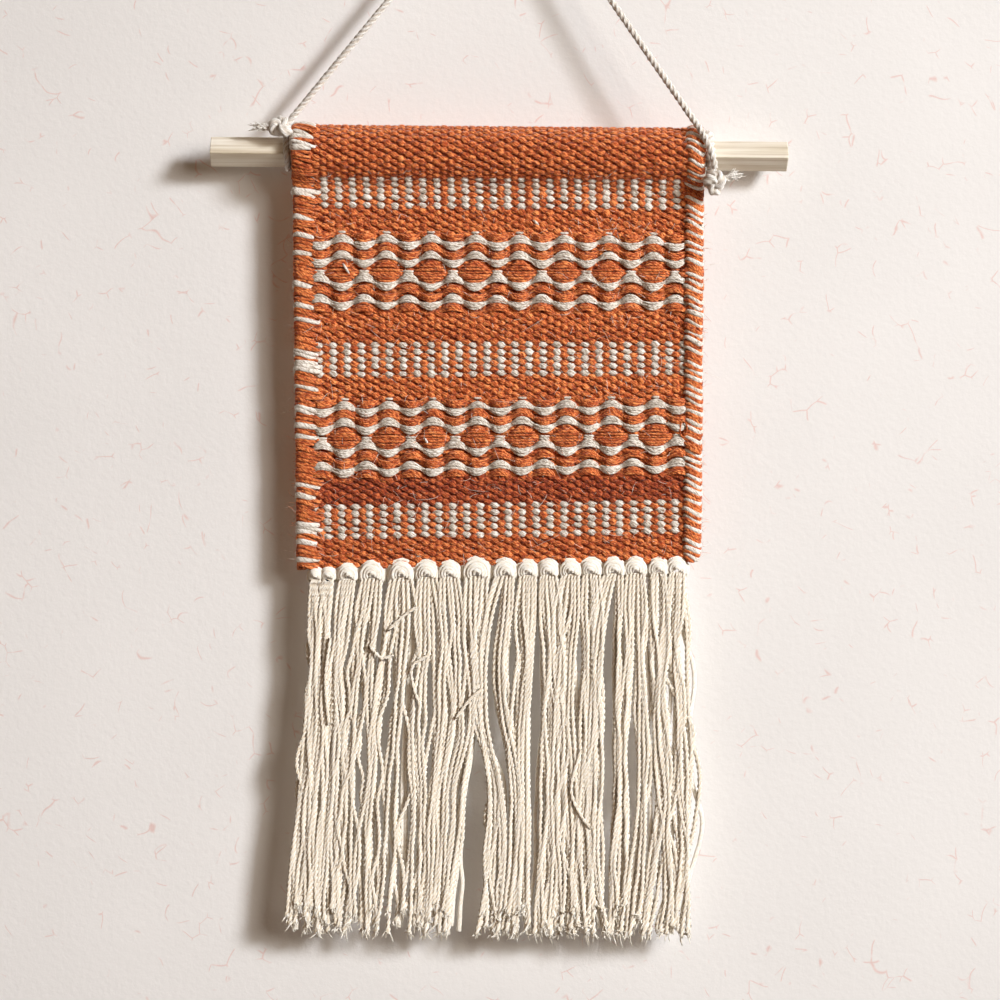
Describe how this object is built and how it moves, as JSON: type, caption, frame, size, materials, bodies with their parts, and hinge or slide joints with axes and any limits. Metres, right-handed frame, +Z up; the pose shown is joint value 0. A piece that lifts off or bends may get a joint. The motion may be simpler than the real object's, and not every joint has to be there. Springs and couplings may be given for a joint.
{
  "type": "tapestry wall hanging",
  "caption": "Small woven wool wall hanging on a square dowel, with a knotted cotton fringe, hung by a twisted cord.",
  "frame": {"origin": "nail seat: the underside of the cord where it bends over the nail", "axes": "+Z up, +X to the viewer's right, +Y towards the wall, so the patterned face looks along -Y"},
  "size_m": [0.254, 0.0285, 0.4778],
  "materials": {
    "wool_cloth": "heathered weft-faced wool weave with off-white pattern bands",
    "wool_binding": "overcast wool yarn, orange with off-white wraps",
    "sewing_yarn": "sewn wool yarn",
    "pine": "raw sanded softwood",
    "cotton_cord": "twisted matt cotton cord",
    "fringe_cotton": "soft plied cotton yarn"
  },
  "bodies": {
    "hanger": {"cord_span": "cotton_cord", "cord_hitch_left": "cotton_cord", "cord_hitch_right": "cotton_cord", "cord_knot_left": "cotton_cord", "cord_knot_right": "cotton_cord", "cord_tail_left": "cotton_cord", "cord_tail_right": "cotton_cord"},
    "cloth": {"woven_panel": "wool_cloth", "dowel_sleeve": "wool_cloth", "sleeve_binding_left": "wool_binding", "sleeve_binding_right": "wool_binding", "edge_binding_left": "wool_binding", "edge_binding_right": "wool_binding", "hem_seam": "sewing_yarn", "knot_01": "fringe_cotton", "knot_02": "fringe_cotton", "knot_03": "fringe_cotton", "knot_04": "fringe_cotton", "knot_05": "fringe_cotton", "knot_06": "fringe_cotton", "knot_07": "fringe_cotton", "knot_08": "fringe_cotton", "knot_09": "fringe_cotton", "knot_10": "fringe_cotton", "knot_11": "fringe_cotton", "knot_12": "fringe_cotton", "knot_13": "fringe_cotton", "knot_14": "fringe_cotton", "knot_15": "fringe_cotton", "knot_16": "fringe_cotton", "knot_17": "fringe_cotton"},
    "dowel": {"dowel": "pine"},
    "tassel_01": {"tassel_01": "fringe_cotton"},
    "tassel_02": {"tassel_02": "fringe_cotton"},
    "tassel_03": {"tassel_03": "fringe_cotton"},
    "tassel_04": {"tassel_04": "fringe_cotton"},
    "tassel_05": {"tassel_05": "fringe_cotton"},
    "tassel_06": {"tassel_06": "fringe_cotton"},
    "tassel_07": {"tassel_07": "fringe_cotton"},
    "tassel_08": {"tassel_08": "fringe_cotton"},
    "tassel_09": {"tassel_09": "fringe_cotton"},
    "tassel_10": {"tassel_10": "fringe_cotton"},
    "tassel_11": {"tassel_11": "fringe_cotton"},
    "tassel_12": {"tassel_12": "fringe_cotton"},
    "tassel_13": {"tassel_13": "fringe_cotton"},
    "tassel_14": {"tassel_14": "fringe_cotton"},
    "tassel_15": {"tassel_15": "fringe_cotton"},
    "tassel_16": {"tassel_16": "fringe_cotton"},
    "tassel_17": {"tassel_17": "fringe_cotton"}
  },
  "joints": [
    {"name": "cloth_swing", "type": "hinge", "parent": "hanger", "child": "cloth", "pos_m": [0, 0, -0.1274], "axis": [-1, 0, 0], "range_deg": [-1, 80]},
    {"name": "dowel_slide", "type": "slide", "parent": "cloth", "child": "dowel", "axis": [1, 0, 0], "range_m": [-0.025, 0.025]},
    {"name": "tassel_swing_01", "type": "hinge", "parent": "cloth", "child": "tassel_01", "pos_m": [-0.08236, 0, -0.31508], "axis": [-1, 0, 0], "range_deg": [-1.5, 60]},
    {"name": "tassel_swing_02", "type": "hinge", "parent": "cloth", "child": "tassel_02", "pos_m": [-0.07669, 0, -0.31491], "axis": [-1, 0, 0], "range_deg": [-1.5, 60]},
    {"name": "tassel_swing_03", "type": "hinge", "parent": "cloth", "child": "tassel_03", "pos_m": [-0.06818, 0, -0.31467], "axis": [-1, 0, 0], "range_deg": [-1.5, 60]},
    {"name": "tassel_swing_04", "type": "hinge", "parent": "cloth", "child": "tassel_04", "pos_m": [-0.05756, 0, -0.31436], "axis": [-1, 0, 0], "range_deg": [-1.5, 60]},
    {"name": "tassel_swing_05", "type": "hinge", "parent": "cloth", "child": "tassel_05", "pos_m": [-0.04462, 0, -0.31399], "axis": [-1, 0, 0], "range_deg": [-1.5, 60]},
    {"name": "tassel_swing_06", "type": "hinge", "parent": "cloth", "child": "tassel_06", "pos_m": [-0.03329, 0, -0.31366], "axis": [-1, 0, 0], "range_deg": [-1.5, 60]},
    {"name": "tassel_swing_07", "type": "hinge", "parent": "cloth", "child": "tassel_07", "pos_m": [-0.02354, 0, -0.31338], "axis": [-1, 0, 0], "range_deg": [-1.5, 60]},
    {"name": "tassel_swing_08", "type": "hinge", "parent": "cloth", "child": "tassel_08", "pos_m": [-0.0115, 0, -0.31304], "axis": [-1, 0, 0], "range_deg": [-1.5, 60]},
    {"name": "tassel_swing_09", "type": "hinge", "parent": "cloth", "child": "tassel_09", "pos_m": [0.0009, 0, -0.31268], "axis": [-1, 0, 0], "range_deg": [-1.5, 60]},
    {"name": "tassel_swing_10", "type": "hinge", "parent": "cloth", "child": "tassel_10", "pos_m": [0.01117, 0, -0.31238], "axis": [-1, 0, 0], "range_deg": [-1.5, 60]},
    {"name": "tassel_swing_11", "type": "hinge", "parent": "cloth", "child": "tassel_11", "pos_m": [0.02003, 0, -0.31213], "axis": [-1, 0, 0], "range_deg": [-1.5, 60]},
    {"name": "tassel_swing_12", "type": "hinge", "parent": "cloth", "child": "tassel_12", "pos_m": [0.02995, 0, -0.31184], "axis": [-1, 0, 0], "range_deg": [-1.5, 60]},
    {"name": "tassel_swing_13", "type": "hinge", "parent": "cloth", "child": "tassel_13", "pos_m": [0.03916, 0, -0.31158], "axis": [-1, 0, 0], "range_deg": [-1.5, 60]},
    {"name": "tassel_swing_14", "type": "hinge", "parent": "cloth", "child": "tassel_14", "pos_m": [0.04891, 0, -0.3113], "axis": [-1, 0, 0], "range_deg": [-1.5, 60]},
    {"name": "tassel_swing_15", "type": "hinge", "parent": "cloth", "child": "tassel_15", "pos_m": [0.05865, 0, -0.31102], "axis": [-1, 0, 0], "range_deg": [-1.5, 60]},
    {"name": "tassel_swing_16", "type": "hinge", "parent": "cloth", "child": "tassel_16", "pos_m": [0.06857, 0, -0.31073], "axis": [-1, 0, 0], "range_deg": [-1.5, 60]},
    {"name": "tassel_swing_17", "type": "hinge", "parent": "cloth", "child": "tassel_17", "pos_m": [0.0769, 0, -0.31049], "axis": [-1, 0, 0], "range_deg": [-1.5, 60]}
  ]
}
